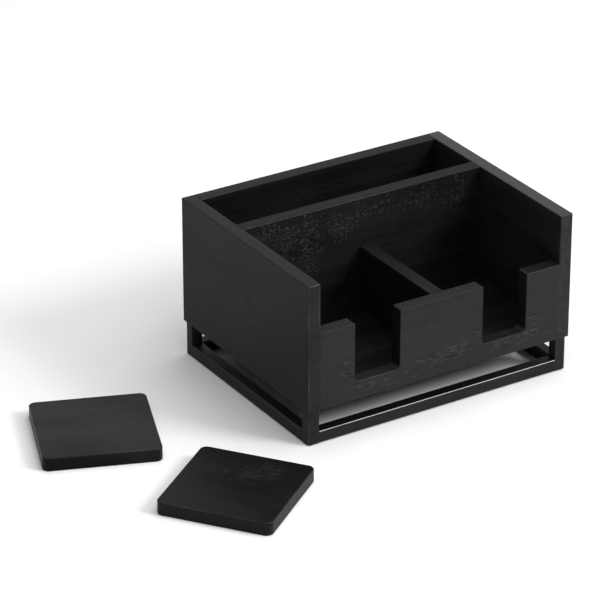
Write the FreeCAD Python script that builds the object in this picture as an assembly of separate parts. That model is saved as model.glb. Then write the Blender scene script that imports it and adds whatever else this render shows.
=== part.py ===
import FreeCAD, Part
import math
import os

# Desk organizer of black stained wood: an open box of seven boards on a low
# leg frame. The box has one full-width compartment at the rear and two square
# ones in front, behind a low front wall with a finger notch for each. Two
# loose square coasters, which fit in the left square compartment, lie on
# the table beside it. Dowels hidden in the joints hold the boards together.
#
# Sizes are in millimetres, +Z is up and the front looks along -Y. The pieces
# are made with the table at Z = 0 and the box's front left corner over
# X = 0, Y = 0. They are exported with the origin moved to the middle of the
# whole set's footprint on the table.

# ---- box ----
BOX_WIDTH = 265.0
BOX_DEPTH = 203.0
BOX_HEIGHT = 116.5
BOARD = 12.5                     # thickness of every board of the box
FRONT_WALL_HEIGHT = 71.5         # from the box's underside
FRONT_COMPARTMENT_DEPTH = 108.0
CENTRE_DIVIDER_OFFSET = 2.5      # to the right of the box's middle
BOX_CORNER_RADIUS = 1.5          # the box's four upright outer corners
EDGE_RADIUS = 0.8                # every other exposed edge
UNDERSIDE_EDGE_RADIUS = 0.5

# ---- finger notches in the front wall ----
NOTCH_WIDTH = 44.5
NOTCH_SPACING = 128.0            # from middle to middle
NOTCH_SILL_HEIGHT = 4.5          # from the floor board's top
NOTCH_BOTTOM_RADIUS = 4.0
NOTCH_TOP_RADIUS = 1.6

# ---- leg frame ----
BAR_SIZE = 10.7                  # every post and rail is the same square bar
LEG_FRAME_INSET = 1.5            # from the box's outer faces
POST_HEIGHT = 31.0
POST_CORNER_RADIUS = 3.0
RAIL_EDGE_RADIUS = 1.4
PAD_DIAMETER = 9.0
PAD_THICKNESS = 1.0

# ---- coasters ----
COASTER_SIZE = 100.0
COASTER_THICKNESS = 12.0
COASTER_CORNER_RADIUS = 6.0
COASTER_EDGE_RADIUS = 1.0
# Middle from the box's front left corner, and the turn about +Z in degrees.
COASTER_PLACES = {
    "rear_coaster": (-140.5, 109.0, -21.4),
    "front_coaster": (-92.0, -37.5, -53.2),
}

# ---- dowels ----
BOARD_DOWEL_DIAMETER = 6.0
BOARD_DOWEL_FACE_DEPTH = 9.0     # the part that enters a board's broad face
BOARD_DOWEL_END_DEPTH = 20.0     # the part that enters a board's narrow end
RAIL_DOWEL_DIAMETER = 3.5
RAIL_DOWEL_POST_DEPTH = 7.0
RAIL_DOWEL_RAIL_DEPTH = 11.0
RAIL_DOWEL_COVER = 1.0           # wood over and under the dowels in a rail
POST_DOWEL_DIAMETER = 4.0
POST_DOWEL_POST_DEPTH = 13.0
POST_DOWEL_BOX_DEPTH = 11.0
DOWEL_CHAMFER = 0.5
DOWEL_RADIAL_CLEARANCE = 0.05
DOWEL_END_CLEARANCE = 0.4        # glue space past each end
TALL_JOINT_DOWEL_COUNT = 3       # in each end of the back and cross divider
LOW_JOINT_DOWEL_COUNT = 2        # in each end of the front wall and centre divider
FLOOR_JOINT_DOWEL_COUNT = 3      # along each side of the floor board

# ---- levels and planes that follow from the sizes ----
UNDERSIDE = PAD_THICKNESS + POST_HEIGHT
FLOOR_TOP = UNDERSIDE + BOARD
WALL_TOP = UNDERSIDE + FRONT_WALL_HEIGHT
BOX_TOP = UNDERSIDE + BOX_HEIGHT
SILL = FLOOR_TOP + NOTCH_SILL_HEIGHT
INNER_LEFT = BOARD
INNER_RIGHT = BOX_WIDTH - BOARD
WALL_REAR = BOARD
CROSS_FRONT = WALL_REAR + FRONT_COMPARTMENT_DEPTH
CROSS_REAR = CROSS_FRONT + BOARD
BACK_FRONT = BOX_DEPTH - BOARD
DIVIDER_LEFT = (BOX_WIDTH - BOARD) / 2 + CENTRE_DIVIDER_OFFSET
DIVIDER_RIGHT = DIVIDER_LEFT + BOARD
DIVIDER_MIDDLE = (DIVIDER_LEFT + DIVIDER_RIGHT) / 2
RAIL_TOP = PAD_THICKNESS + BAR_SIZE
POST_LEFT = LEG_FRAME_INSET
POST_FRONT = LEG_FRAME_INSET
POST_RIGHT = BOX_WIDTH - LEG_FRAME_INSET - BAR_SIZE
POST_REAR = BOX_DEPTH - LEG_FRAME_INSET - BAR_SIZE

X_AXIS = FreeCAD.Vector(1, 0, 0)
Y_AXIS = FreeCAD.Vector(0, 1, 0)
Z_AXIS = FreeCAD.Vector(0, 0, 1)
SAME_PLACE = 0.001               # two coordinates this close are the same


def block(low, high):
    """Box between two opposite corners."""
    low = FreeCAD.Vector(*low)
    size = FreeCAD.Vector(*high) - low
    return Part.makeBox(size.x, size.y, size.z, low)


def edges_at(shape, **place):
    """Edges that lie wholly at the given x, y or z values."""
    found = []
    for edge in shape.Edges:
        bounds = edge.BoundBox
        spans = {
            "x": (bounds.XMin, bounds.XMax),
            "y": (bounds.YMin, bounds.YMax),
            "z": (bounds.ZMin, bounds.ZMax),
        }
        ends = [(end, value) for axis, value in place.items() for end in spans[axis]]
        if all(abs(end - value) < SAME_PLACE for end, value in ends):
            found.append(edge)
    return found


def upright_rounding(x, y, into_x, into_y, low, high, radius):
    """Waste that rounds one upright corner at x, y; the signs point into the wood."""
    middle = FreeCAD.Vector(x + into_x * radius, y + into_y * radius, low)
    corner = FreeCAD.Vector(min(x, middle.x), min(y, middle.y), low)
    waste = Part.makeBox(radius, radius, high - low, corner)
    return waste.cut(Part.makeCylinder(radius, high - low, middle, Z_AXIS))


def spread(low, high, count):
    """Middles of equal shares of a length."""
    share = (high - low) / count
    return [low + share * (index + 0.5) for index in range(count)]


# ---- dowels and their bores ----

def dowel_solid(place, axis, back, ahead, diameter):
    """One dowel through a joint at place: back behind the joint, ahead beyond it."""
    solid = Part.makeCylinder(diameter / 2, back + ahead, place - axis * back, axis)
    rims = [edge for edge in solid.Edges if isinstance(edge.Curve, Part.Circle)]
    return solid.makeChamfer(DOWEL_CHAMFER, rims)


def dowel_bore(place, axis, back, ahead, diameter):
    """The hole for that dowel, with its clearances."""
    back += DOWEL_END_CLEARANCE
    ahead += DOWEL_END_CLEARANCE
    return Part.makeCylinder(diameter / 2 + DOWEL_RADIAL_CLEARANCE, back + ahead, place - axis * back, axis)


def board_dowels(places, axis):
    """Dowels whose axis points out of a board's end into another board's face."""
    depths = (BOARD_DOWEL_END_DEPTH, BOARD_DOWEL_FACE_DEPTH, BOARD_DOWEL_DIAMETER)
    return [(FreeCAD.Vector(*place), axis) + depths for place in places]


def side_to_side_dowels(y, heights):
    """Dowels from both ends of a cross board into the two side panels."""
    left = board_dowels([(INNER_LEFT, y, height) for height in heights], -X_AXIS)
    right = board_dowels([(INNER_RIGHT, y, height) for height in heights], X_AXIS)
    return left + right


def centre_divider_dowels():
    """Dowels from the centre divider into the front wall and the cross divider."""
    heights = spread(FLOOR_TOP, WALL_TOP, LOW_JOINT_DOWEL_COUNT)
    front = board_dowels([(DIVIDER_MIDDLE, WALL_REAR, height) for height in heights], -Y_AXIS)
    rear = board_dowels([(DIVIDER_MIDDLE, CROSS_FRONT, height) for height in heights], Y_AXIS)
    return front + rear


def floor_dowels():
    """Dowels from the floor board's four edges into the boards round it."""
    height = UNDERSIDE + BOARD / 2
    dowels = []
    for y in spread(WALL_REAR, BACK_FRONT, FLOOR_JOINT_DOWEL_COUNT):
        dowels += side_to_side_dowels(y, [height])
    for x in spread(INNER_LEFT, INNER_RIGHT, FLOOR_JOINT_DOWEL_COUNT):
        dowels += board_dowels([(x, WALL_REAR, height)], -Y_AXIS)
        dowels += board_dowels([(x, BACK_FRONT, height)], Y_AXIS)
    return dowels


def rail_dowels():
    """Dowels from the rail ends into the posts, the side rails' ones higher up."""
    depths = (RAIL_DOWEL_RAIL_DEPTH, RAIL_DOWEL_POST_DEPTH, RAIL_DOWEL_DIAMETER)
    reach = RAIL_DOWEL_COVER + RAIL_DOWEL_DIAMETER / 2
    dowels = []
    for y in (POST_FRONT + BAR_SIZE / 2, POST_REAR + BAR_SIZE / 2):
        for x, axis in ((POST_LEFT + BAR_SIZE, -X_AXIS), (POST_RIGHT, X_AXIS)):
            dowels.append((FreeCAD.Vector(x, y, PAD_THICKNESS + reach), axis) + depths)
    for x in (POST_LEFT + BAR_SIZE / 2, POST_RIGHT + BAR_SIZE / 2):
        for y, axis in ((POST_FRONT + BAR_SIZE, -Y_AXIS), (POST_REAR, Y_AXIS)):
            dowels.append((FreeCAD.Vector(x, y, RAIL_TOP - reach), axis) + depths)
    return dowels


def post_dowels():
    """Upright dowels from the posts into the side panels' undersides."""
    depths = (POST_DOWEL_POST_DEPTH, POST_DOWEL_BOX_DEPTH, POST_DOWEL_DIAMETER)
    return [
        (FreeCAD.Vector(x + BAR_SIZE / 2, y + BAR_SIZE / 2, UNDERSIDE), Z_AXIS) + depths
        for x in (POST_LEFT, POST_RIGHT)
        for y in (POST_FRONT, POST_REAR)
    ]


# ---- boards of the box ----

def side_panel(outer, inner):
    """Full-depth side board between its outer and inner X planes, with eased edges."""
    low, high = sorted((outer, inner))
    panel = block((low, 0, UNDERSIDE), (high, BOX_DEPTH, BOX_TOP))
    corners = edges_at(panel, x=outer, y=0) + edges_at(panel, x=outer, y=BOX_DEPTH)
    panel = panel.makeFillet(BOX_CORNER_RADIUS, corners)
    into_wood = math.copysign(1, outer - inner)
    panel = panel.cut(upright_rounding(inner, 0, into_wood, 1, WALL_TOP, BOX_TOP, BOX_CORNER_RADIUS))
    panel = panel.makeFillet(EDGE_RADIUS, edges_at(panel, z=BOX_TOP))
    return panel.makeFillet(UNDERSIDE_EDGE_RADIUS, edges_at(panel, x=outer, z=UNDERSIDE))


def cross_board(front, rear, low, high, eased_undersides=()):
    """Board between the side panels with both top edges eased."""
    board = block((INNER_LEFT, front, low), (INNER_RIGHT, rear, high))
    tops = edges_at(board, y=front, z=high) + edges_at(board, y=rear, z=high)
    board = board.makeFillet(EDGE_RADIUS, tops)
    for y in eased_undersides:
        board = board.makeFillet(UNDERSIDE_EDGE_RADIUS, edges_at(board, y=y, z=low))
    return board


def centre_divider():
    """Low board between the front wall and the cross divider."""
    board = block((DIVIDER_LEFT, WALL_REAR, FLOOR_TOP), (DIVIDER_RIGHT, CROSS_FRONT, WALL_TOP))
    tops = edges_at(board, x=DIVIDER_LEFT, z=WALL_TOP) + edges_at(board, x=DIVIDER_RIGHT, z=WALL_TOP)
    return board.makeFillet(EDGE_RADIUS, tops)


def notch_cutter(middle):
    """Waste of one finger notch, rounded at its bottom and flared at its mouth."""
    left = middle - NOTCH_WIDTH / 2
    right = middle + NOTCH_WIDTH / 2
    cutter = block((left, 0, SILL), (right, WALL_REAR, WALL_TOP))
    corners = edges_at(cutter, x=left, z=SILL) + edges_at(cutter, x=right, z=SILL)
    cutter = cutter.makeFillet(NOTCH_BOTTOM_RADIUS, corners)
    mouth = block(
        (left - NOTCH_TOP_RADIUS, 0, WALL_TOP - NOTCH_TOP_RADIUS),
        (right + NOTCH_TOP_RADIUS, WALL_REAR, WALL_TOP),
    )
    for x in (left - NOTCH_TOP_RADIUS, right + NOTCH_TOP_RADIUS):
        middle_of_arc = FreeCAD.Vector(x, 0, WALL_TOP - NOTCH_TOP_RADIUS)
        mouth = mouth.cut(Part.makeCylinder(NOTCH_TOP_RADIUS, BOARD, middle_of_arc, Y_AXIS))
    return cutter.fuse(mouth)


def notch_outline_edges(wall, y):
    """Edges of the front wall's top and notches on the face at y."""
    return [
        edge for edge in edges_at(wall, y=y)
        if edge.BoundBox.ZMax > SILL - SAME_PLACE
        and not edges_lie_at_end(edge)
    ]


def edges_lie_at_end(edge):
    """True for an edge at the front wall's left or right end."""
    bounds = edge.BoundBox
    at_left = abs(bounds.XMax - INNER_LEFT) < SAME_PLACE
    at_right = abs(bounds.XMin - INNER_RIGHT) < SAME_PLACE
    return at_left or at_right


def front_wall():
    """Low front board with its two finger notches."""
    wall = block((INNER_LEFT, 0, UNDERSIDE), (INNER_RIGHT, WALL_REAR, WALL_TOP))
    for side in (-1, 1):
        wall = wall.cut(notch_cutter(BOX_WIDTH / 2 + side * NOTCH_SPACING / 2))
    wall = wall.removeSplitter()
    wall = wall.makeFillet(EDGE_RADIUS, notch_outline_edges(wall, 0) + notch_outline_edges(wall, WALL_REAR))
    return wall.makeFillet(UNDERSIDE_EDGE_RADIUS, edges_at(wall, y=0, z=UNDERSIDE))


def floor_board():
    """Floor between the four outer boards, flush with their undersides."""
    return block((INNER_LEFT, WALL_REAR, UNDERSIDE), (INNER_RIGHT, BACK_FRONT, FLOOR_TOP))


# ---- leg frame ----

def post(left, front):
    """Square post with a rounded outer corner, eased above the rails."""
    right = left + BAR_SIZE
    rear = front + BAR_SIZE
    stick = block((left, front, PAD_THICKNESS), (right, rear, UNDERSIDE))
    outer_x = left if left == POST_LEFT else right
    outer_y = front if front == POST_FRONT else rear
    stick = stick.makeFillet(POST_CORNER_RADIUS, edges_at(stick, x=outer_x, y=outer_y))
    for x in (left, right):
        for y in (front, rear):
            if (x, y) != (outer_x, outer_y):
                signs = (1 if x == left else -1, 1 if y == front else -1)
                stick = stick.cut(upright_rounding(x, y, *signs, RAIL_TOP, UNDERSIDE, EDGE_RADIUS))
    return stick


def rail(low, high, **outer_face):
    """Bottom rail, rounded along its top edges and eased under its outer face."""
    stick = block(low, high)
    axis, outer = next(iter(outer_face.items()))
    lows = dict(zip("xyz", low))
    highs = dict(zip("xyz", high))
    tops = [edge for side in (lows, highs) for edge in edges_at(stick, z=highs["z"], **{axis: side[axis]})]
    stick = stick.makeFillet(RAIL_EDGE_RADIUS, tops)
    return stick.makeFillet(UNDERSIDE_EDGE_RADIUS, edges_at(stick, z=lows["z"], **{axis: outer}))


def leg_frame():
    """Four posts, the four rails between them and a pad under each post."""
    pieces = {}
    columns = {"left": POST_LEFT, "right": POST_RIGHT}
    rows = {"front": POST_FRONT, "rear": POST_REAR}
    for row, front in rows.items():
        for column, left in columns.items():
            middle = FreeCAD.Vector(left + BAR_SIZE / 2, front + BAR_SIZE / 2, 0)
            pieces[f"{row}_{column}_post"] = post(left, front)
            pieces[f"{row}_{column}_foot_pad"] = Part.makeCylinder(PAD_DIAMETER / 2, PAD_THICKNESS, middle)
    for row, front in rows.items():
        low = (POST_LEFT + BAR_SIZE, front, PAD_THICKNESS)
        high = (POST_RIGHT, front + BAR_SIZE, RAIL_TOP)
        outer = front if row == "front" else front + BAR_SIZE
        pieces[f"{row}_rail"] = rail(low, high, y=outer)
    for column, left in columns.items():
        low = (left, POST_FRONT + BAR_SIZE, PAD_THICKNESS)
        high = (left + BAR_SIZE, POST_REAR, RAIL_TOP)
        outer = left if column == "left" else left + BAR_SIZE
        pieces[f"{column}_rail"] = rail(low, high, x=outer)
    return pieces


# ---- coasters ----

def coaster(x, y, turn):
    """Square tile with rounded corners and eased edges, lying on the table."""
    half = COASTER_SIZE / 2
    tile = block((-half, -half, 0), (half, half, COASTER_THICKNESS))
    uprights = [edge for edge in tile.Edges if edge.BoundBox.ZLength > COASTER_THICKNESS / 2]
    tile = tile.makeFillet(COASTER_CORNER_RADIUS, uprights)
    tile = tile.makeFillet(COASTER_EDGE_RADIUS, edges_at(tile, z=0) + edges_at(tile, z=COASTER_THICKNESS))
    tile.rotate(FreeCAD.Vector(), Z_AXIS, turn)
    tile.translate(FreeCAD.Vector(x, y, 0))
    return tile


def footprint_middle():
    """Middle of the rectangle round the box and the coasters, seen from above."""
    straight = COASTER_SIZE / 2 - COASTER_CORNER_RADIUS
    low_x, high_x, low_y, high_y = 0, BOX_WIDTH, 0, BOX_DEPTH
    for x, y, turn in COASTER_PLACES.values():
        angle = math.radians(turn)
        reach = straight * (abs(math.cos(angle)) + abs(math.sin(angle))) + COASTER_CORNER_RADIUS
        low_x, high_x = min(low_x, x - reach), max(high_x, x + reach)
        low_y, high_y = min(low_y, y - reach), max(high_y, y + reach)
    return FreeCAD.Vector((low_x + high_x) / 2, (low_y + high_y) / 2, 0)


# ---- assembly ----

def dowel_sets():
    """Every group of dowels, under the name of its node."""
    wall_levels = spread(UNDERSIDE, WALL_TOP, LOW_JOINT_DOWEL_COUNT)
    cross_levels = spread(FLOOR_TOP, BOX_TOP, TALL_JOINT_DOWEL_COUNT)
    back_levels = spread(UNDERSIDE, BOX_TOP, TALL_JOINT_DOWEL_COUNT)
    return {
        "front_wall_dowels": side_to_side_dowels(WALL_REAR / 2, wall_levels),
        "cross_divider_dowels": side_to_side_dowels((CROSS_FRONT + CROSS_REAR) / 2, cross_levels),
        "back_panel_dowels": side_to_side_dowels((BACK_FRONT + BOX_DEPTH) / 2, back_levels),
        "centre_divider_dowels": centre_divider_dowels(),
        "floor_dowels": floor_dowels(),
        "rail_dowels": rail_dowels(),
        "post_dowels": post_dowels(),
    }


def wooden_pieces():
    """Boards, posts, rails and pads before they are bored."""
    pieces = {
        "left_side_panel": side_panel(0, INNER_LEFT),
        "right_side_panel": side_panel(BOX_WIDTH, INNER_RIGHT),
        "back_panel": cross_board(BACK_FRONT, BOX_DEPTH, UNDERSIDE, BOX_TOP, eased_undersides=(BOX_DEPTH,)),
        "cross_divider": cross_board(CROSS_FRONT, CROSS_REAR, FLOOR_TOP, BOX_TOP),
        "centre_divider": centre_divider(),
        "front_wall": front_wall(),
        "floor_board": floor_board(),
    }
    pieces.update(leg_frame())
    return pieces


def assembly():
    """Every piece under its node's name, in place."""
    sets = dowel_sets()
    bores = Part.makeCompound([dowel_bore(*dowel) for dowels in sets.values() for dowel in dowels])
    pieces = {}
    for name, shape in wooden_pieces().items():
        near = [bore for bore in bores.Solids if bore.BoundBox.intersect(shape.BoundBox)]
        pieces[name] = shape.cut(near) if near else shape
    for name, dowels in sets.items():
        pieces[name] = Part.makeCompound([dowel_solid(*dowel) for dowel in dowels])
    for name, place in COASTER_PLACES.items():
        pieces[name] = coaster(*place)
    return pieces


def export():
    """Write one STEP file for each piece."""
    os.makedirs("parts", exist_ok=True)
    shift = -footprint_middle()
    for name, shape in assembly().items():
        shape.translate(shift)
        shape.exportStep(os.path.join("parts", name + ".step"))


export()
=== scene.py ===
import math

import bpy
import numpy as np
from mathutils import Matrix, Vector


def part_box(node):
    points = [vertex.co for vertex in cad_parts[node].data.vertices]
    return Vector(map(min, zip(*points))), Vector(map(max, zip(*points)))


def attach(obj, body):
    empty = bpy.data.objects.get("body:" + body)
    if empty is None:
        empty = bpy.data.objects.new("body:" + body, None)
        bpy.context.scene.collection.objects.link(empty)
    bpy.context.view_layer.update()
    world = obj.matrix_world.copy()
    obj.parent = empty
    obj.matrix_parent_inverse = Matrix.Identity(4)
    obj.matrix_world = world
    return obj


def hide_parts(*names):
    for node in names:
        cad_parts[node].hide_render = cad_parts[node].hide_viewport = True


bl_info = {
    "name": "Desk organizer with coasters",
    "version": (1, 0, 0),
    "blender": (4, 5, 0),
    "location": "View3D > Sidebar > Organizer",
    "description": "Finishes the stained wood organizer and its coasters, and sets up the studio",
    "category": "Object",
}

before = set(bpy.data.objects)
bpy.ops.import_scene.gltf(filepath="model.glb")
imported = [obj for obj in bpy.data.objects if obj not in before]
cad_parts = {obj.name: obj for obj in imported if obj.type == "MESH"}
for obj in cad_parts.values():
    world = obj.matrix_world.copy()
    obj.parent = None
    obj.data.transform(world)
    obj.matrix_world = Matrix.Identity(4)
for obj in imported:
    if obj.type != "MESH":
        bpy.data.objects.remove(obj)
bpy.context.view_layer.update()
BOX_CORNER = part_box("left_side_panel")[0]

MM = 0.001

# Grain runs along the length of each piece. The turn brings local X onto it.
ALONG_X = (0.0, 0.0, 0.0)
ALONG_Y = (0.0, 0.0, math.radians(90))
ALONG_Z = (0.0, math.radians(90), 0.0)
BOX_GRAIN = {
    "front_wall": ALONG_X,
    "cross_divider": ALONG_X,
    "back_panel": ALONG_X,
    "floor_board": ALONG_X,
    "left_side_panel": ALONG_Y,
    "right_side_panel": ALONG_Y,
    "centre_divider": ALONG_Y,
}
LEG_GRAIN = {
    "front_rail": ALONG_X,
    "rear_rail": ALONG_X,
    "left_rail": ALONG_Y,
    "right_rail": ALONG_Y,
    "front_left_post": ALONG_Z,
    "front_right_post": ALONG_Z,
    "rear_left_post": ALONG_Z,
    "rear_right_post": ALONG_Z,
}
# A coaster's grain lies along one of its sides, in degrees from X.
COASTER_TURN = {"rear_coaster": -21.4, "front_coaster": -53.2}
DOWEL_GRAIN = {
    "front_wall_dowels": ALONG_X,
    "cross_divider_dowels": ALONG_X,
    "back_panel_dowels": ALONG_X,
    "centre_divider_dowels": ALONG_Y,
    "floor_dowels": ALONG_X,
    "rail_dowels": ALONG_X,
    "post_dowels": ALONG_Z,
}
FOOT_PADS = (
    "front_left_foot_pad",
    "front_right_foot_pad",
    "rear_left_foot_pad",
    "rear_right_foot_pad",
)

# Where the pieces are cut from the plank, in millimetres: the first piece's place, and the
# step to each next one, so that no two pieces share a pattern.
BOARD_CUT = ((0.0, 41.0, -58.0), (137.0, 23.0, -9.0))
LEG_CUT = ((0.0, 17.0, 73.0), (211.0, 31.0, 13.0))
COASTER_CUT = ((-91.0, 0.0, 66.0), (-57.0, 29.0, 21.0))
DOWEL_CUT = ((0.0, 7.0, 0.0), (19.0, 0.0, 3.0))

# Flat-sawn figure: centre and half axes, in millimetres in the shared frame, of the places
# where pores crowd, and how much they crowd there.
FIGURE = {
    "front_wall": (
        ((98, -43, 48), (34, 30, 8), 1.0),
        ((124, -43, 53), (26, 30, 7), 1.0),
        ((9, -43, 60), (13, 30, 16), 1.0),
        ((24, -43, 45), (20, 30, 8), 1.0),
        ((157, -43, 43), (18, 30, 6), 1.0),
        ((196, -43, 56), (12, 30, 14), 1.0),
        ((182, -43, 48), (28, 30, 6), 1.0),
        ((58, -43, 42), (20, 30, 4), 1.0),
    ),
    "cross_divider": (
        ((46, 78, 116), (17, 30, 38), 1.0),
        ((2, 78, 138), (22, 30, 16), 1.0),
        ((26, 78, 128), (22, 30, 20), 1.0),
        ((78, 78, 128), (16, 30, 18), 1.0),
        ((100, 78, 138), (16, 30, 10), 0.55),
        ((128, 78, 134), (24, 30, 12), 0.55),
        ((168, 78, 136), (28, 30, 15), 0.45),
        ((198, 78, 130), (18, 30, 20), 0.45),
    ),
    "left_side_panel": (
        ((-30, 35, 100), (30, 34, 14), 1.0),
        ((-30, 70, 76), (30, 26, 8), 1.0),
        ((-30, -10, 92), (30, 26, 12), 1.0),
    ),
    "front_coaster": (
        ((-96, -82, 8), (30, 16, 20), 1.0),
        ((-124, -62, 8), (16, 10, 20), 0.5),
    ),
    "rear_coaster": (
        ((-150, 78, 8), (26, 14, 20), 1.0),
        ((-190, 52, 8), (16, 22, 20), 0.5),
    ),
}

# How a piece's wood differs from the plain look:
# - depth is how light its stain is; on the front wall and the right side panel it is raised
#   as painted light, for the light and reflections that fall on them; and faces gives a tone
#   of their own to the faces that are square to an axis, painted shade where the tone is
#   under one and painted light where it is over one, for how light falls on those faces;
# - pore is the length and width of a large pore's cell in millimetres, share is how many
#   cells hold a pore where they crowd, and rim is how pale the pores' rims are, a paleness
#   that is partly stain wiped thin and partly a painted glint;
# - waver is how far the grain wanders, and curl how far it curls from pore to pore, both in
#   millimetres;
# - bands is how strong the growth bands are, patches how much the stain varies over the
#   board, and fine how dense the fine pores are;
# - edge gloss is the sheen of the rubbed arrises, front gloss is added to it on the edges
#   of the front, and level gloss is added on the faces that lie level.
PLAIN_LOOK = {
    "depth": 1.0,
    "faces": (),
    "pore": (5.0, 1.1),
    "share": 0.35,
    "rim": 0.35,
    "waver": 4.0,
    "curl": 0.0,
    "bands": 0.55,
    "patches": 0.35,
    "fine": 1.0,
    "roughness": 0.43,
    "specular": 0.1,
    "bump": 0.6,
    "edge_gloss": 0.12,
    "front_gloss": 0.0,
    "level_gloss": 0.0,
}
BOARD_LOOK = {
    # Front wall: its stain is raised as painted light, for the light and reflection on its front;
    # its top faces are darkened as a painted dark reflection, and its end faces and notch sides as
    # painted shade.
    "front_wall": {
        "depth": 2.95, "faces": (("Z", 0.4), ("X", 0.35)),
        "pore": (15.0, 0.7), "share": 0.9, "rim": 1.05,
        "waver": 2.0, "bands": 0.18, "patches": 0.08, "edge_gloss": 0.04,
    },
    "floor_board": {"depth": 0.6, "bands": 0.3},
    # Cross divider: its top faces are darkened as a painted dark reflection.
    "cross_divider": {
        "depth": 1.1, "faces": (("Z", 0.3),),
        "pore": (6.0, 0.95), "share": 0.85, "rim": 1.6, "waver": 8.0, "curl": 3.5,
    },
    # Left side panel: its end faces are lightened as painted light.
    "left_side_panel": {
        "faces": (("Y", 2.0),),
        "pore": (18.0, 0.7), "share": 0.3, "rim": 0.1,
        "waver": 3.0, "bands": 0.35, "fine": 0.35, "front_gloss": 1.3,
    },
    # Right side panel: its stain is raised as painted reflected light, and its end faces and top
    # face are lightened further as painted light.
    "right_side_panel": {
        "depth": 1.8, "faces": (("Y", 1.8), ("Z", 1.4)), "level_gloss": 0.25,
    },
}
# Leg frame: its level faces, the rails' tops, are darkened as a painted dark reflection of the
# box's underside.
LEG_LOOK = {
    "depth": 2.0, "faces": (("Z", 0.25),),
    "share": 0.15, "rim": 0.2, "bands": 0.4,
    "roughness": 0.42, "bump": 0.35, "edge_gloss": 1.0,
}
LEG_CHANGES = {
    "front_rail": {"edge_gloss": 3.0},
    "left_rail": {"edge_gloss": 0.15},
    "rear_left_post": {"edge_gloss": 0.2},
}
COASTER_LOOK = {
    "pore": (6.0, 0.7), "share": 0.5, "rim": 0.45,
    "waver": 9.0, "bands": 0.12, "bump": 0.4, "edge_gloss": 0.22,
}
# The coasters' top faces are toned apart as painted reflection: the rear one's lightened, the
# front one's darkened.
COASTER_CHANGES = {
    "rear_coaster": {"depth": 0.9, "faces": (("Z", 1.08),), "patches": 1.3},
    "front_coaster": {"faces": (("Z", 0.65),), "pore": (13.0, 0.75), "rim": 1.2},
}

# Paces of the noises, in cycles per millimetre: along the grain, then across it both ways.
DRIFT_PACE = (0.010, 0.030, 0.030)
WAVER_PACE = (0.07, 0.13, 0.13)
CURL_PACE = (0.30, 0.30, 0.30)
BAND_PACE = (0.004, 0.20, 0.20)
FIBRE_PACE = (0.05, 2.6, 2.6)
BEECH_FIBRE_PACE = (0.08, 3.0, 3.0)
BEECH_RAY_PACE = (0.6, 2.6, 2.6)
# The felt's fibres lie two ways: paces along X, Y and Z.
MATTED_PACE = (1.2, 7.0, 5.0)
CROSSED_PACE = (7.0, 1.3, 5.0)

# Figure zones: the noise that warps them, in cycles per metre, and its reach in metres; and
# where their edge starts and ends, as parts of the half axes.
ZONE_WARP_PACE = 85.0
ZONE_WARP_REACH = (0.026, 0.026, 0.026)
ZONE_EDGE = (1.15, 0.35)

# Where a slow noise or a cell starts to count, and where it counts in full.
LOOSE_ZONES = (0.54, 0.66)
FLECK_HEART = (0.38, 0.22)
EARLY_WOOD = (0.42, 0.62)
PATCHES = (0.34, 0.66)
ROUGH_PATCHES = (0.3, 0.7)
STREAKS = (0.42, 0.70)
RUBBED_PARTS = (0.40, 0.62)
RAY_HEART = (0.0, 0.1)
NAP = (0.4, 0.75)

# Pores, in millimetres: a pit's place beside its rim, and a fine pore's cell and place.
PIT_SHIFT = (0.25, 0.38, -0.38)
FINE_PORE = (5.5, 0.55)
FINE_SHIFT = (11.0, 5.0, 3.0)
# Shares of the cells that hold a pore: large ones between the zones, and fine ones in the
# zones, as a part of the look's share, in early wood and everywhere.
STRAY_SHARE = 0.012
FINE_IN_ZONES = 0.6
FINE_IN_EARLY = 0.42
FINE_ANYWHERE = 0.06
# A fine pore against a large one: its rim in the zones, its rim anywhere, and its pit.
FINE_RIM_IN_ZONES = 0.40
FINE_RIM = 0.07
FINE_PIT = 0.55

# Tones of the wood's parts, as multiples of the stain, where the pits' tone is painted
# shade in their hollows; how far that painted shade covers the pits, and how far the paler
# edges, partly wear and partly a painted highlight, cover the stain; and how much an edge is
# rubbed where it is rubbed least.
BAND_TONE = 1.7
STREAK_TONE = 2.1
PIT_PAINTED_SHADE_TONE = 0.15
PIT_PAINTED_SHADE_COVER = 0.85
EDGE_WEAR_AND_HIGHLIGHT_COVER = 0.5
LEAST_RUBBED = 0.25

# Roughness that the wood's parts add, and how far under the look's own it starts.
ROUGHNESS_UNDER = 0.08
PIT_ROUGHNESS = 0.30
PATCH_ROUGHNESS = 0.08
EARLY_ROUGHNESS = 0.13
FIBRE_ROUGHNESS = 0.36

# Height of the fibres, as a part of a pit's depth, and that depth in metres.
FIBRE_HEIGHT = 0.35
PIT_DEPTH = 0.00010
LACQUER_IOR = 1.6

# Beech: the shade between its fibres, and the tone, cover and reach of a ray fleck, the
# reach as a part of its cell; and felt: its tones between the fibres and on them.
BEECH_SHADE = 0.82
RAY_TONE = 0.55
RAY_COVER = 0.5
RAY_REACH = 0.3
FELT_TONES = (0.55, 1.7)
# Roughness that the fibres add, and the roughness that they add it to.
BEECH_ROUGHNESS = (0.2, 0.55)
FELT_ROUGHNESS = (0.1, 0.86)

# Foot pads: points around and up the side; rings on the level faces, as parts of their
# radius; the rim's bulge, as a part of the thickness; and waves of the rim, each by its
# count, phase and depth, with the depth of its fray, as parts of the radius.
PAD_AROUND = 72
PAD_SIDE_POINTS = 9
PAD_RINGS = (0.0005, 0.35, 0.7, 0.93)
PAD_BULGE = 0.25
PAD_WAVES = ((3, 0.7, 0.006), (7, 0.0, 0.004))
PAD_FRAY = 0.004
FIRST_PAD_SEED = 4

FLOOR_POINTS = 3

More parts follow.
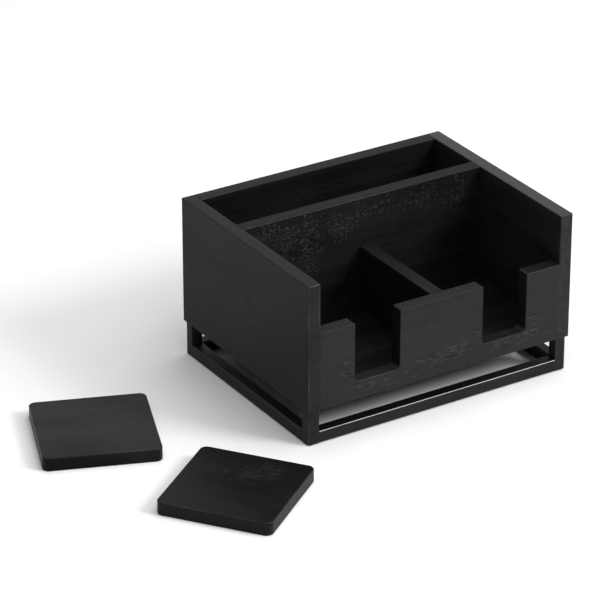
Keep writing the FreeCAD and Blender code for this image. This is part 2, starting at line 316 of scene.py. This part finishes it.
# Camera, from the box's front left underside corner.
CAMERA_OFFSET = Vector((-1.3832, -2.1928, 1.40876))
CAMERA_AIM = Vector((0.47478, 0.75686, -0.44916))
FOCAL_PIXELS = 3577.8
IMAGE_PIXELS = 600.0
SENSOR_MM = 36.0

# Lights and room. Directions point from the object to the light.
LIT_POINT = Vector((0.05, 0.03, 0.05))
LIGHT_DISTANCE = 5.0
KEY_DIRECTION = (0.475, -0.60, 0.56)
OVERHEAD_DIRECTION = (0.05, -0.10, 1.0)
BRIGHT_DIRECTION = (0.70, -0.50, 0.50)
# The room's step from dim to bright, by the cosine from its brightest part, and its dimmest
# share; then its step by the height of the direction, and the shares below and above it.
BRIGHT_STEP = (-0.35, 0.85)
DIMMEST_SHARE = 0.06
HEIGHT_STEP = (0.2, 0.9)
HEIGHT_SHARES = (0.02, 1.2)

# Inputs of a Mix node in colour mode: factor, first and second colour. Then its output.
MIX_INPUTS = (0, 6, 7)
MIX_OUTPUT = 2


# ---- settings ----

class OrganizerFinishSettings(bpy.types.PropertyGroup):
    """Finish of the stained wood, the dowels and the pads."""

    stain: bpy.props.FloatVectorProperty(
        name="Stain", description="Colour of the stained wood between its pores",
        subtype="COLOR", size=3, min=0.0, max=1.0, default=(0.0062, 0.0060, 0.0070))
    # The rims' pale colour is partly stain wiped thin and partly a painted glint on the pores.
    pore: bpy.props.FloatVectorProperty(
        name="Pore flecks", description="Colour of the rims of the pores, where the stain is thin",
        subtype="COLOR", size=3, min=0.0, max=1.0, default=(0.060, 0.060, 0.066))
    # Paler rubbed edges: partly wear of the stain and partly a painted highlight along the rounded
    # arrises.
    edge_wear_and_highlight: bpy.props.FloatVectorProperty(
        name="Worn edges", description="Colour of the edges where the stain is rubbed",
        subtype="COLOR", size=3, min=0.0, max=1.0, default=(0.030, 0.030, 0.031))
    edge_roughness: bpy.props.FloatProperty(
        name="Edge roughness", description="Roughness of the gloss on rubbed edges",
        subtype="FACTOR", min=0.02, max=1.0, default=0.12)
    felt: bpy.props.FloatVectorProperty(
        name="Felt", description="Colour of the pads under the posts",
        subtype="COLOR", size=3, min=0.0, max=1.0, default=(0.022, 0.022, 0.023))
    beech: bpy.props.FloatVectorProperty(
        name="Dowel wood", description="Colour of the hidden dowels",
        subtype="COLOR", size=3, min=0.0, max=1.0, default=(0.55, 0.37, 0.21))


class OrganizerStageSettings(bpy.types.PropertyGroup):
    """Floor, lights and room."""

    floor: bpy.props.FloatVectorProperty(
        name="Floor", description="Colour of the floor",
        subtype="COLOR", size=3, min=0.0, max=1.0, default=(0.94, 0.94, 0.94))
    floor_size: bpy.props.FloatProperty(
        name="Floor size", description="Side of the square floor",
        subtype="DISTANCE", unit="LENGTH", min=1.0, max=60.0, default=24.0)
    room: bpy.props.FloatProperty(
        name="Room light", description="Brightness of the room around the object",
        subtype="FACTOR", min=0.0, max=2.0, default=1.1)
    key: bpy.props.FloatProperty(
        name="Key light", description="Power of the soft light at the front right",
        subtype="POWER", unit="POWER", min=0.0, max=500.0, default=135.0)
    key_size: bpy.props.FloatProperty(
        name="Key light size", description="Side of the square key light",
        subtype="DISTANCE", unit="LENGTH", min=0.05, max=8.0, default=1.5)
    overhead: bpy.props.FloatProperty(
        name="Overhead light", description="Power of the large soft light over the object",
        subtype="POWER", unit="POWER", min=0.0, max=500.0, default=90.0)
    overhead_size: bpy.props.FloatProperty(
        name="Overhead light size", description="Side of the square overhead light",
        subtype="DISTANCE", unit="LENGTH", min=0.05, max=8.0, default=5.0)


# ---- building nodes ----

class NodeBuilder:
    """Adds nodes to a tree. Each value that it is given may be a socket, which it links."""

    def __init__(self, tree):
        self.tree = tree
        tree.nodes.clear()

    def feed(self, socket, value):
        """Gives an input a value, or a link when the value is a socket."""
        if isinstance(value, bpy.types.NodeSocket):
            self.tree.links.new(value, socket)
        else:
            socket.default_value = value

    def add(self, kind, settings=None, **inputs):
        """One node with its settings, and with its inputs by name."""
        made = self.tree.nodes.new(kind)
        for name, value in (settings or {}).items():
            setattr(made, name, value)
        for name, value in inputs.items():
            self.feed(made.inputs[name.replace("_", " ")], value)
        return made

    def math(self, operation, *values, clamp=False):
        """Math node with its inputs in order."""
        made = self.add("ShaderNodeMath", {"operation": operation, "use_clamp": clamp})
        for socket, value in zip(made.inputs, values):
            self.feed(socket, value)
        return made.outputs[0]

    def vector(self, operation, *values):
        """Vector math node with its inputs in order. A length or dot product is a number."""
        made = self.add("ShaderNodeVectorMath", {"operation": operation})
        for socket, value in zip(made.inputs, values):
            self.feed(socket, value)
        return made.outputs["Value" if operation in ("LENGTH", "DOT_PRODUCT") else "Vector"]

    def remap(self, value, low, high, to_low=0.0, to_high=1.0):
        """Smooth step of a value from one range to another."""
        made = self.add("ShaderNodeMapRange", {"interpolation_type": "SMOOTHSTEP", "clamp": True},
                        Value=value, From_Min=low, From_Max=high, To_Min=to_low, To_Max=to_high)
        return made.outputs["Result"]

    def mix(self, factor, first, second):
        """Colour mix. A colour that is no socket is a tuple of three numbers."""
        made = self.add("ShaderNodeMix", {"data_type": "RGBA"})
        for number, value in zip(MIX_INPUTS, (factor, first, second)):
            self.feed(made.inputs[number], (*value, 1.0) if isinstance(value, tuple) else value)
        return made.outputs[MIX_OUTPUT]

    def coordinates(self, kind):
        """Texture coordinates of a kind, such as Object or Normal."""
        return self.add("ShaderNodeTexCoord").outputs[kind]

    def parts(self, vector):
        """The X, Y and Z of a vector."""
        return self.add("ShaderNodeSeparateXYZ", Vector=vector).outputs

    def noise(self, place, pace, detail, roughness=0.5):
        """Noise node that runs at its own pace along each axis of a place."""
        return self.add("ShaderNodeTexNoise", Vector=self.vector("MULTIPLY", place, pace),
                        Scale=1.0, Detail=detail, Roughness=roughness)

    def wander(self, noise, reach):
        """Shift that is nil on average: a noise's colour less one half, times its reach."""
        centred = self.vector("SUBTRACT", noise.outputs["Color"], (0.5, 0.5, 0.5))
        return self.vector("MULTIPLY", centred, reach)


def new_material(name):
    """Empty node material and its builder."""
    material = bpy.data.materials.new(name)
    material.use_nodes = True
    return material, NodeBuilder(material.node_tree)


def scaled(values, factor):
    """The numbers of a colour or a place, each times one factor."""
    return tuple(value * factor for value in values)


def plank_place(cut, order):
    """Place of a piece in the plank: the first one's plus a step for each before it."""
    first, step = cut
    return tuple(start + order * stride for start, stride in zip(first, step))


def grain_place(build, turn, shift=(0.0, 0.0, 0.0)):
    """Object coordinates in millimetres, turned so that X runs along the grain."""
    mapping = build.add("ShaderNodeMapping", {"vector_type": "TEXTURE"},
                        Vector=build.coordinates("Object"), Rotation=turn,
                        Location=scaled(shift, MM), Scale=(MM, MM, MM))
    return mapping.outputs["Vector"]


# ---- stained wood ----

def figure_zones(build, spots):
    """Mask of the places where the growth rings lie flat in the face and the pores crowd.

    Each spot is an ellipsoid, given by its centre and half axes in millimetres, and a
    weight. The mask is the weight within about a third of the half axes and falls
    smoothly to zero past them, at a place that slow noise shifts by a few millimetres.
    """
    place = build.coordinates("Object")
    warp = build.add("ShaderNodeTexNoise", Vector=place, Scale=ZONE_WARP_PACE, Detail=2.0)
    shifted = build.vector("ADD", place, build.wander(warp, ZONE_WARP_REACH))
    mask = 0.0
    for centre, half, weight in spots:
        away = build.vector("SUBTRACT", shifted, scaled(centre, MM))
        reach = build.vector("LENGTH", build.vector("DIVIDE", away, scaled(half, MM)))
        mask = build.math("MAXIMUM", mask, build.remap(reach, *ZONE_EDGE, 0.0, weight))
    return mask


def flecks(build, place, size, share, shift=(0.0, 0.0, 0.0)):
    """Short flecks along the grain: the hearts of stretched random cells.

    Only the given share of the cells, picked by their random colour, has a fleck.
    """
    length, width = size
    moved = build.vector("ADD", place, shift)
    cells = build.add("ShaderNodeTexVoronoi", {"feature": "F1", "distance": "EUCLIDEAN"},
                      Vector=build.vector("DIVIDE", moved, (length, width, width)),
                      Scale=1.0, Randomness=1.0)
    heart = build.remap(cells.outputs["Distance"], *FLECK_HEART)
    draw = build.parts(cells.outputs["Color"])["X"]
    return build.math("MULTIPLY", heart, build.math("LESS_THAN", draw, share))


def open_pore_layers(build, place, spots, look):
    """Bands, pores and fibres of open-pore wood, in millimetres, X along the grain.

    Large pores crowd in the zones and are rare between them. Each is a pit, later darkened
    as painted shade in its hollow, with a pale rim beside it that is partly stain wiped thin
    and partly a painted glint. Fine pores follow the bands of early wood, which are noise
    stretched far along the grain, as the fibres are.
    Noise about as fine as the pores curls them where the look asks for it.
    The drift is slow noise for the uneven take of the stain.
    """
    drift = build.noise(place, DRIFT_PACE, detail=3.0).outputs["Fac"]
    waver = build.noise(place, WAVER_PACE, detail=2.0)
    bent = build.vector("ADD", place, build.wander(waver, (0.0, look["waver"], look["waver"])))
    if look["curl"]:
        twist = build.noise(place, CURL_PACE, detail=1.0)
        bent = build.vector("ADD", bent, build.wander(twist, (0.0, look["curl"], look["curl"])))
    zones = figure_zones(build, spots) if spots else build.remap(drift, *LOOSE_ZONES)
    bands = build.noise(bent, BAND_PACE, detail=2.0).outputs["Fac"]
    early = build.remap(bands, *EARLY_WOOD)

    share = build.math("MULTIPLY_ADD", zones, look["share"], STRAY_SHARE)
    rim = flecks(build, bent, look["pore"], share)
    pit = flecks(build, bent, look["pore"], share, PIT_SHIFT)

    in_zones = build.math("MULTIPLY", zones, look["share"] * FINE_IN_ZONES)
    in_bands = build.math("MULTIPLY_ADD", early,
                          FINE_IN_EARLY * look["fine"], FINE_ANYWHERE * look["fine"])
    fine = flecks(build, bent, FINE_PORE, build.math("ADD", in_zones, in_bands), FINE_SHIFT)
    fine_rim = build.math("MULTIPLY", fine,
                          build.math("MULTIPLY_ADD", zones, FINE_RIM_IN_ZONES, FINE_RIM))
    return {
        "drift": drift,
        "early": early,
        "rims": build.math("MAXIMUM", rim, fine_rim),
        "pits": build.math("MAXIMUM", pit, build.math("MULTIPLY", fine, FINE_PIT)),
        "fibres": build.noise(place, FIBRE_PACE, detail=4.0, roughness=0.6).outputs["Fac"],
    }


def facing(build, axis):
    """Mask that is one on faces square to an axis and zero on faces along it.

    It is the square of the normal's part along that axis.
    """
    normal = build.coordinates("Normal")
    return build.parts(build.vector("MULTIPLY", normal, normal))[axis]


def rounded_edges(build, turned):
    """Mask that is one half way round a rounded edge and zero on every flat face.

    On pieces whose faces follow the axes it is twice one less the sum of the fourth
    powers of the normal's parts. On turned pieces only the edges between a level and
    an upright face count: four times nz squared times one less nz squared.
    """
    if turned:
        level = facing(build, "Z")
        both = build.math("MULTIPLY", level, build.math("SUBTRACT", 1.0, level))
        return build.math("MULTIPLY", both, 4.0, clamp=True)
    normal = build.coordinates("Normal")
    squares = build.vector("MULTIPLY", normal, normal)
    fourths = build.vector("DOT_PRODUCT", squares, squares)
    return build.math("MULTIPLY", build.math("SUBTRACT", 1.0, fourths), 2.0, clamp=True)


def wood_colour(build, layers, rubbed, finish, look):
    """Stain in slow patches, with paler bands and fibres, dark pits, pale rims and paler edges.

    The pits' darkness is painted shade in their hollows, and the rims' paleness is partly
    thin stain and partly a painted glint. Each face that has a tone of its own, painted
    shade where the tone is under one and painted light where it is over one, is multiplied
    by it, before the edges are paled, partly as wear of the stain and partly as a painted
    highlight.
    """
    stain = scaled(finish.stain, look["depth"])
    colour = build.mix(build.remap(layers["drift"], *PATCHES),
                       scaled(stain, 1.0 - look["patches"]),
                       scaled(stain, 1.0 + look["patches"]))
    colour = build.mix(build.math("MULTIPLY", layers["early"], look["bands"]),
                       colour, scaled(stain, BAND_TONE))
    streaks = build.remap(layers["fibres"], *STREAKS)
    colour = build.mix(build.math("MULTIPLY", streaks, look["bands"]),
                       colour, scaled(stain, STREAK_TONE))
    # Painted shade in the pits' hollows.
    colour = build.mix(build.math("MULTIPLY", layers["pits"], PIT_PAINTED_SHADE_COVER),
                       colour, scaled(stain, PIT_PAINTED_SHADE_TONE))
    # Pale rims: partly stain wiped thin, partly a painted glint.
    colour = build.mix(build.math("MULTIPLY", layers["rims"], look["rim"]),
                       colour, tuple(finish.pore))
    # Painted light and shade by face: the faces square to each listed axis take a tone of their
    # own.
    for axis, tone in look["faces"]:
        colour = build.mix(facing(build, axis), colour,
                           build.vector("MULTIPLY", colour, (tone, tone, tone)))
    # Paler rubbed edges: partly wear of the stain, partly a painted highlight along the arrises.
    return build.mix(build.math("MULTIPLY", rubbed, EDGE_WEAR_AND_HIGHLIGHT_COVER), colour, tuple(finish.edge_wear_and_highlight))


def wood_roughness(build, layers, look):
    """The look's roughness, raised in pits, slow patches, early wood and along fibres."""
    rough = build.math("MULTIPLY_ADD", layers["pits"], PIT_ROUGHNESS,
                       look["roughness"] - ROUGHNESS_UNDER)
    rough = build.math("MULTIPLY_ADD", build.remap(layers["drift"], *ROUGH_PATCHES),
                       PATCH_ROUGHNESS, rough)
    rough = build.math("MULTIPLY_ADD", layers["early"], look["bands"] * EARLY_ROUGHNESS, rough)
    return build.math("MULTIPLY_ADD", layers["fibres"], look["bands"] * FIBRE_ROUGHNESS, rough,
                      clamp=True)


def edge_coat(build, rubbed, look):
    """Weight of the gloss: the rubbed edges', more at the front, and the level faces'."""
    gloss = build.math("MULTIPLY_ADD", facing(build, "Y"), look["front_gloss"], look["edge_gloss"])
    return build.math("MULTIPLY_ADD", facing(build, "Z"), look["level_gloss"],
                      build.math("MULTIPLY", rubbed, gloss), clamp=True)


def stained_wood(name, turn, shift, finish, changes, spots=(), turned=False):
    """Black stained open-pore wood, dull on its faces and rubbed to a gloss at its edges."""
    look = {**PLAIN_LOOK, **changes}
    material, build = new_material(name)
    layers = open_pore_layers(build, grain_place(build, turn, shift), spots, look)
    # The rubbed mask weights the edges' gloss, and pales their colour, partly as wear and partly
    # as a painted highlight.
    rubbed = build.math("MULTIPLY", rounded_edges(build, turned),
                        build.remap(layers["drift"], *RUBBED_PARTS, LEAST_RUBBED, 1.0))
    height = build.math("ADD", build.math("MULTIPLY", layers["pits"], -1.0),
                        build.math("MULTIPLY", layers["fibres"], FIBRE_HEIGHT))
    bump = build.add("ShaderNodeBump", Strength=look["bump"], Distance=PIT_DEPTH, Height=height)
    shader = build.add("ShaderNodeBsdfPrincipled",
                       Base_Color=wood_colour(build, layers, rubbed, finish, look),
                       Roughness=wood_roughness(build, layers, look),
                       Normal=bump.outputs["Normal"],
                       Specular_IOR_Level=look["specular"],
                       Coat_Weight=edge_coat(build, rubbed, look),
                       Coat_Roughness=finish.edge_roughness,
                       Coat_IOR=LACQUER_IOR)
    build.add("ShaderNodeOutputMaterial", Surface=shader.outputs["BSDF"])
    return material


# ---- dowels and pads ----

def bare_beech(name, turn, shift, finish):
    """Bare beech of the dowels: short dark ray flecks in straight pale grain."""
    material, build = new_material(name)
    place = grain_place(build, turn, shift)
    fibres = build.noise(place, BEECH_FIBRE_PACE, detail=4.0, roughness=0.6).outputs["Fac"]
    rays = build.add("ShaderNodeTexVoronoi", {"feature": "F1"},
                     Vector=build.vector("MULTIPLY", place, BEECH_RAY_PACE), Scale=1.0)
    inside = build.math("SUBTRACT", RAY_REACH, rays.outputs["Distance"])
    fleck = build.math("MULTIPLY", build.remap(inside, *RAY_HEART), RAY_COVER)
    tone = build.mix(fibres, scaled(finish.beech, BEECH_SHADE), tuple(finish.beech))
    colour = build.mix(fleck, tone, scaled(finish.beech, RAY_TONE))
    bump = build.add("ShaderNodeBump", Strength=0.4, Distance=0.00005, Height=fibres)
    shader = build.add("ShaderNodeBsdfPrincipled", Base_Color=colour,
                       Roughness=build.math("MULTIPLY_ADD", fibres, *BEECH_ROUGHNESS),
                       Normal=bump.outputs["Normal"])
    build.add("ShaderNodeOutputMaterial", Surface=shader.outputs["BSDF"])
    return material


def pressed_felt(name, finish):
    """Pressed felt: matted fibres in two directions over a soft nap."""
    material, build = new_material(name)
    place = grain_place(build, ALONG_X)
    matted = build.noise(place, MATTED_PACE, detail=5.0, roughness=0.7)
    crossed = build.noise(place, CROSSED_PACE, detail=5.0, roughness=0.7)
    nap = build.math("MAXIMUM", matted.outputs["Fac"], crossed.outputs["Fac"])
    dark, pale = (scaled(finish.felt, tone) for tone in FELT_TONES)
    bump = build.add("ShaderNodeBump", Strength=0.8, Distance=0.0002, Height=nap)
    shader = build.add("ShaderNodeBsdfPrincipled",
                       Base_Color=build.mix(build.remap(nap, *NAP), dark, pale),
                       Roughness=build.math("MULTIPLY_ADD", nap, *FELT_ROUGHNESS, clamp=True),
                       Normal=bump.outputs["Normal"],
                       Sheen_Weight=0.35, Sheen_Roughness=0.5)
    build.add("ShaderNodeOutputMaterial", Surface=shader.outputs["BSDF"])
    return material


# ---- surfaces ----

def wear_material(node, material):
    """Puts one material on every slot of a CAD node's object."""
    node_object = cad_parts[node]
    if not node_object.material_slots:
        node_object.data.materials.append(material)
    for slot in node_object.material_slots:
        slot.material = material


def grid_mesh(name, points, closed_around):
    """Mesh of quads from a rows x columns x 3 grid of points.

    Vertex (i, j) joins (i + 1, j) and (i, j + 1); the last column joins the first
    when the grid is closed around.
    """
    rows, columns = points.shape[:2]
    across = columns if closed_around else columns - 1
    i, j = np.meshgrid(np.arange(rows - 1), np.arange(across), indexing="ij")
    after = (j + 1) % columns
    quads = np.stack([i * columns + j, i * columns + after,
                      (i + 1) * columns + after, (i + 1) * columns + j], axis=-1).reshape(-1, 4)
    mesh = bpy.data.meshes.new(name)
    mesh.from_pydata(points.reshape(-1, 3).tolist(), [], quads.tolist())
    mesh.validate()
    mesh.update()
    return mesh


def felt_pad_points(low, high, seed):
    """Points of a felt pad that the post's weight has pressed.

    A closed profile is carried round the pad's axis. From the top centre it runs out
    to the rim, bulges by a quarter of the thickness as a half sine, and comes back
    to the middle underneath. The rim's radius varies by a few slow waves and a
    little seeded noise, always inwards, so the pad stays within its cylinder.
    """
    rng = np.random.default_rng(seed)
    centre = (np.array(low) + np.array(high)) / 2
    radius = (high[0] - low[0]) / 2
    thickness = high[2] - low[2]
    level_radius = radius - PAD_BULGE * thickness
    side = np.linspace(0.0, 1.0, PAD_SIDE_POINTS)
    bulge = PAD_BULGE * thickness * np.sin(np.pi * side)
    rings = np.array(PAD_RINGS)
    profile_radius = np.concatenate([
        rings * level_radius,
        level_radius + bulge,
        rings[::-1] * level_radius,
    ])
    profile_height = np.concatenate([
        np.full(rings.size, thickness),
        thickness * (1.0 - side),
        np.zeros(rings.size),
    ])
    angle = np.linspace(0.0, 2 * np.pi, PAD_AROUND, endpoint=False)
    waves = np.ones(PAD_AROUND)
    for count, phase, depth in PAD_WAVES:
        waves = waves - depth * (1.0 + np.sin(count * angle + phase))
    waves = waves - PAD_FRAY * rng.random(PAD_AROUND)
    reach = profile_radius[:, None] * waves[None, :]
    return np.stack([
        centre[0] + reach * np.cos(angle),
        centre[1] + reach * np.sin(angle),
        low[2] + np.repeat(profile_height[:, None], PAD_AROUND, axis=1),
    ], axis=-1)


# ---- operators ----

class ORGANIZER_OT_box_boards(bpy.types.Operator):
    """Finish the box's seven boards in black stained open-pore wood"""

    bl_idname = "organizer.box_boards"
    bl_label = "Finish the box's boards"

    def execute(self, context):
        finish = context.scene.organizer_finish
        for order, (node, turn) in enumerate(BOX_GRAIN.items()):
            wear_material(node, stained_wood(
                "stained_wood_" + node, turn, plank_place(BOARD_CUT, order), finish,
                BOARD_LOOK.get(node, {}), FIGURE.get(node, ())))
        return {"FINISHED"}


class ORGANIZER_OT_leg_frame(bpy.types.Operator):
    """Finish the leg frame's posts and rails, whose lacquer is glossier"""

    bl_idname = "organizer.leg_frame"
    bl_label = "Finish the leg frame"

    def execute(self, context):
        finish = context.scene.organizer_finish
        for order, (node, turn) in enumerate(LEG_GRAIN.items()):
            wear_material(node, stained_wood(
                "stained_wood_" + node, turn, plank_place(LEG_CUT, order), finish,
                {**LEG_LOOK, **LEG_CHANGES.get(node, {})}))
        return {"FINISHED"}


class ORGANIZER_OT_coasters(bpy.types.Operator):
    """Finish the two loose coasters, with the grain along one side of each"""

    bl_idname = "organizer.coasters"
    bl_label = "Finish the coasters"

    def execute(self, context):
        finish = context.scene.organizer_finish
        for order, (node, degrees) in enumerate(COASTER_TURN.items()):
            turn = (0.0, 0.0, math.radians(degrees))
            wear_material(node, stained_wood(
                "stained_wood_" + node, turn, plank_place(COASTER_CUT, order), finish,
                {**COASTER_LOOK, **COASTER_CHANGES[node]}, FIGURE[node], turned=True))
        return {"FINISHED"}


class ORGANIZER_OT_dowels(bpy.types.Operator):
    """Finish the hidden dowels in bare beech"""

    bl_idname = "organizer.dowels"
    bl_label = "Finish the dowels"

    def execute(self, context):
        finish = context.scene.organizer_finish
        for order, (node, turn) in enumerate(DOWEL_GRAIN.items()):
            wear_material(node, bare_beech(
                "beech_" + node, turn, plank_place(DOWEL_CUT, order), finish))
        return {"FINISHED"}


class ORGANIZER_OT_foot_pads(bpy.types.Operator):
    """Make the four pressed felt pads under the posts"""

    bl_idname = "organizer.foot_pads"
    bl_label = "Make the foot pads"

    def execute(self, context):
        material = pressed_felt("pressed_felt", context.scene.organizer_finish)
        for order, node in enumerate(FOOT_PADS):
            low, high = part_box(node)
            name = node.replace("foot_pad", "felt_pad")
            points = felt_pad_points(tuple(low), tuple(high), FIRST_PAD_SEED + order)
            mesh = grid_mesh(name, points, closed_around=True)
            mesh.materials.append(material)
            mesh.shade_smooth()
            pad = bpy.data.objects.new(name, mesh)
            context.scene.collection.objects.link(pad)
            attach(pad, "organizer")
            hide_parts(node)
        return {"FINISHED"}


class ORGANIZER_OT_stage(bpy.types.Operator):
    """Set up the floor, the room, the soft light and the camera"""

    bl_idname = "organizer.stage"
    bl_label = "Set up the stage"

    def execute(self, context):
        stage = context.scene.organizer_stage
        self.make_floor(context, stage)
        self.light_room(context, stage)
        self.hang_lights(context, stage)
        self.place_camera(context)
        context.scene.view_settings.view_transform = "Standard"
        return {"FINISHED"}

    def make_floor(self, context, stage):
        """Flat square floor under the object, a plane of two parameters."""
        half = stage.floor_size / 2
        side = np.linspace(-half, half, FLOOR_POINTS)
        x, y = np.meshgrid(side, side)
        points = np.stack([x, y, np.zeros_like(x)], axis=-1)
        mesh = grid_mesh("floor", points, closed_around=False)
        material, build = new_material("pale_floor")
        shader = build.add("ShaderNodeBsdfPrincipled", Base_Color=(*stage.floor, 1.0),
                           Roughness=0.85, Specular_IOR_Level=0.1)
        build.add("ShaderNodeOutputMaterial", Surface=shader.outputs["BSDF"])
        mesh.materials.append(material)
        floor = bpy.data.objects.new("floor", mesh)
        context.scene.collection.objects.link(floor)

    def seen_rays(self, build):
        """One for rays from the camera, from gloss and through glass, zero for light."""
        path = build.add("ShaderNodeLightPath").outputs
        seen = build.math("MAXIMUM", path["Is Camera Ray"], path["Is Glossy Ray"])
        return build.math("MAXIMUM", seen, path["Is Transmission Ray"])

    def light_room(self, context, stage):
        """White room: it is seen full white, and lights most from over the front right.

        The light that it gives is a smooth step of how far a direction agrees with
        that of the brightest part, times a smooth step of the direction's height, so
        the room gives little light from near the horizon and from under it.
        """
        world = bpy.data.worlds.new("white_room")
        context.scene.world = world
        world.use_nodes = True
        build = NodeBuilder(world.node_tree)
        outwards = build.coordinates("Generated")
        agree = build.vector("DOT_PRODUCT", outwards, Vector(BRIGHT_DIRECTION).normalized())
        side = build.remap(agree, *BRIGHT_STEP, stage.room * DIMMEST_SHARE, stage.room)
        height = build.remap(build.parts(outwards)["Z"], *HEIGHT_STEP, *HEIGHT_SHARES)
        given = build.math("MULTIPLY", side, height)
        background = build.add("ShaderNodeBackground", Color=(1.0, 1.0, 1.0, 1.0),
                               Strength=build.math("MAXIMUM", self.seen_rays(build), given))
        build.add("ShaderNodeOutputWorld", Surface=background.outputs["Background"])

    def hang_lights(self, context, stage):
        """Square soft lights, each aimed at the middle of the object."""
        for name, size, power, direction in (
                ("key_light", stage.key_size, stage.key, KEY_DIRECTION),
                ("overhead_light", stage.overhead_size, stage.overhead, OVERHEAD_DIRECTION)):
            data = bpy.data.lights.new(name, "AREA")
            data.shape = "SQUARE"
            data.size = size
            data.energy = power
            lamp = bpy.data.objects.new(name, data)
            lamp.location = LIT_POINT + Vector(direction).normalized() * LIGHT_DISTANCE
            lamp.rotation_euler = (LIT_POINT - lamp.location).to_track_quat("-Z", "Y").to_euler()
            context.scene.collection.objects.link(lamp)

    def place_camera(self, context):
        """Long lens from the front left, above the box."""
        lens = bpy.data.cameras.new("camera")
        lens.sensor_width = SENSOR_MM
        lens.lens = FOCAL_PIXELS / IMAGE_PIXELS * SENSOR_MM
        camera = bpy.data.objects.new("camera", lens)
        camera.location = BOX_CORNER + CAMERA_OFFSET
        camera.rotation_euler = CAMERA_AIM.to_track_quat("-Z", "Y").to_euler()
        context.scene.collection.objects.link(camera)
        context.scene.camera = camera


class ORGANIZER_PT_sidebar(bpy.types.Panel):
    """Settings and steps of the organizer."""

    bl_idname = "ORGANIZER_PT_sidebar"
    bl_label = "Desk organizer"
    bl_space_type = "VIEW_3D"
    bl_region_type = "UI"
    bl_category = "Organizer"

    def draw(self, context):
        for step in OPERATORS:
            self.layout.operator(step.bl_idname)
        for settings in (context.scene.organizer_finish, context.scene.organizer_stage):
            column = self.layout.column()
            for name in settings.__annotations__:
                column.prop(settings, name)


OPERATORS = (
    ORGANIZER_OT_box_boards,
    ORGANIZER_OT_leg_frame,
    ORGANIZER_OT_coasters,
    ORGANIZER_OT_dowels,
    ORGANIZER_OT_foot_pads,
    ORGANIZER_OT_stage,
)
CLASSES = (OrganizerFinishSettings, OrganizerStageSettings, *OPERATORS, ORGANIZER_PT_sidebar)


def register():
    """Adds the settings, operators and panel to Blender."""
    for made in CLASSES:
        bpy.utils.register_class(made)
    bpy.types.Scene.organizer_finish = bpy.props.PointerProperty(type=OrganizerFinishSettings)
    bpy.types.Scene.organizer_stage = bpy.props.PointerProperty(type=OrganizerStageSettings)


def unregister():
    """Takes them out again."""
    del bpy.types.Scene.organizer_stage
    del bpy.types.Scene.organizer_finish
    for made in reversed(CLASSES):
        bpy.utils.unregister_class(made)


def main():
    """Makes every piece in order."""
    register()
    bpy.ops.organizer.box_boards()
    bpy.ops.organizer.leg_frame()
    bpy.ops.organizer.coasters()
    bpy.ops.organizer.dowels()
    bpy.ops.organizer.foot_pads()
    bpy.ops.organizer.stage()


if __name__ == "__main__":
    main()
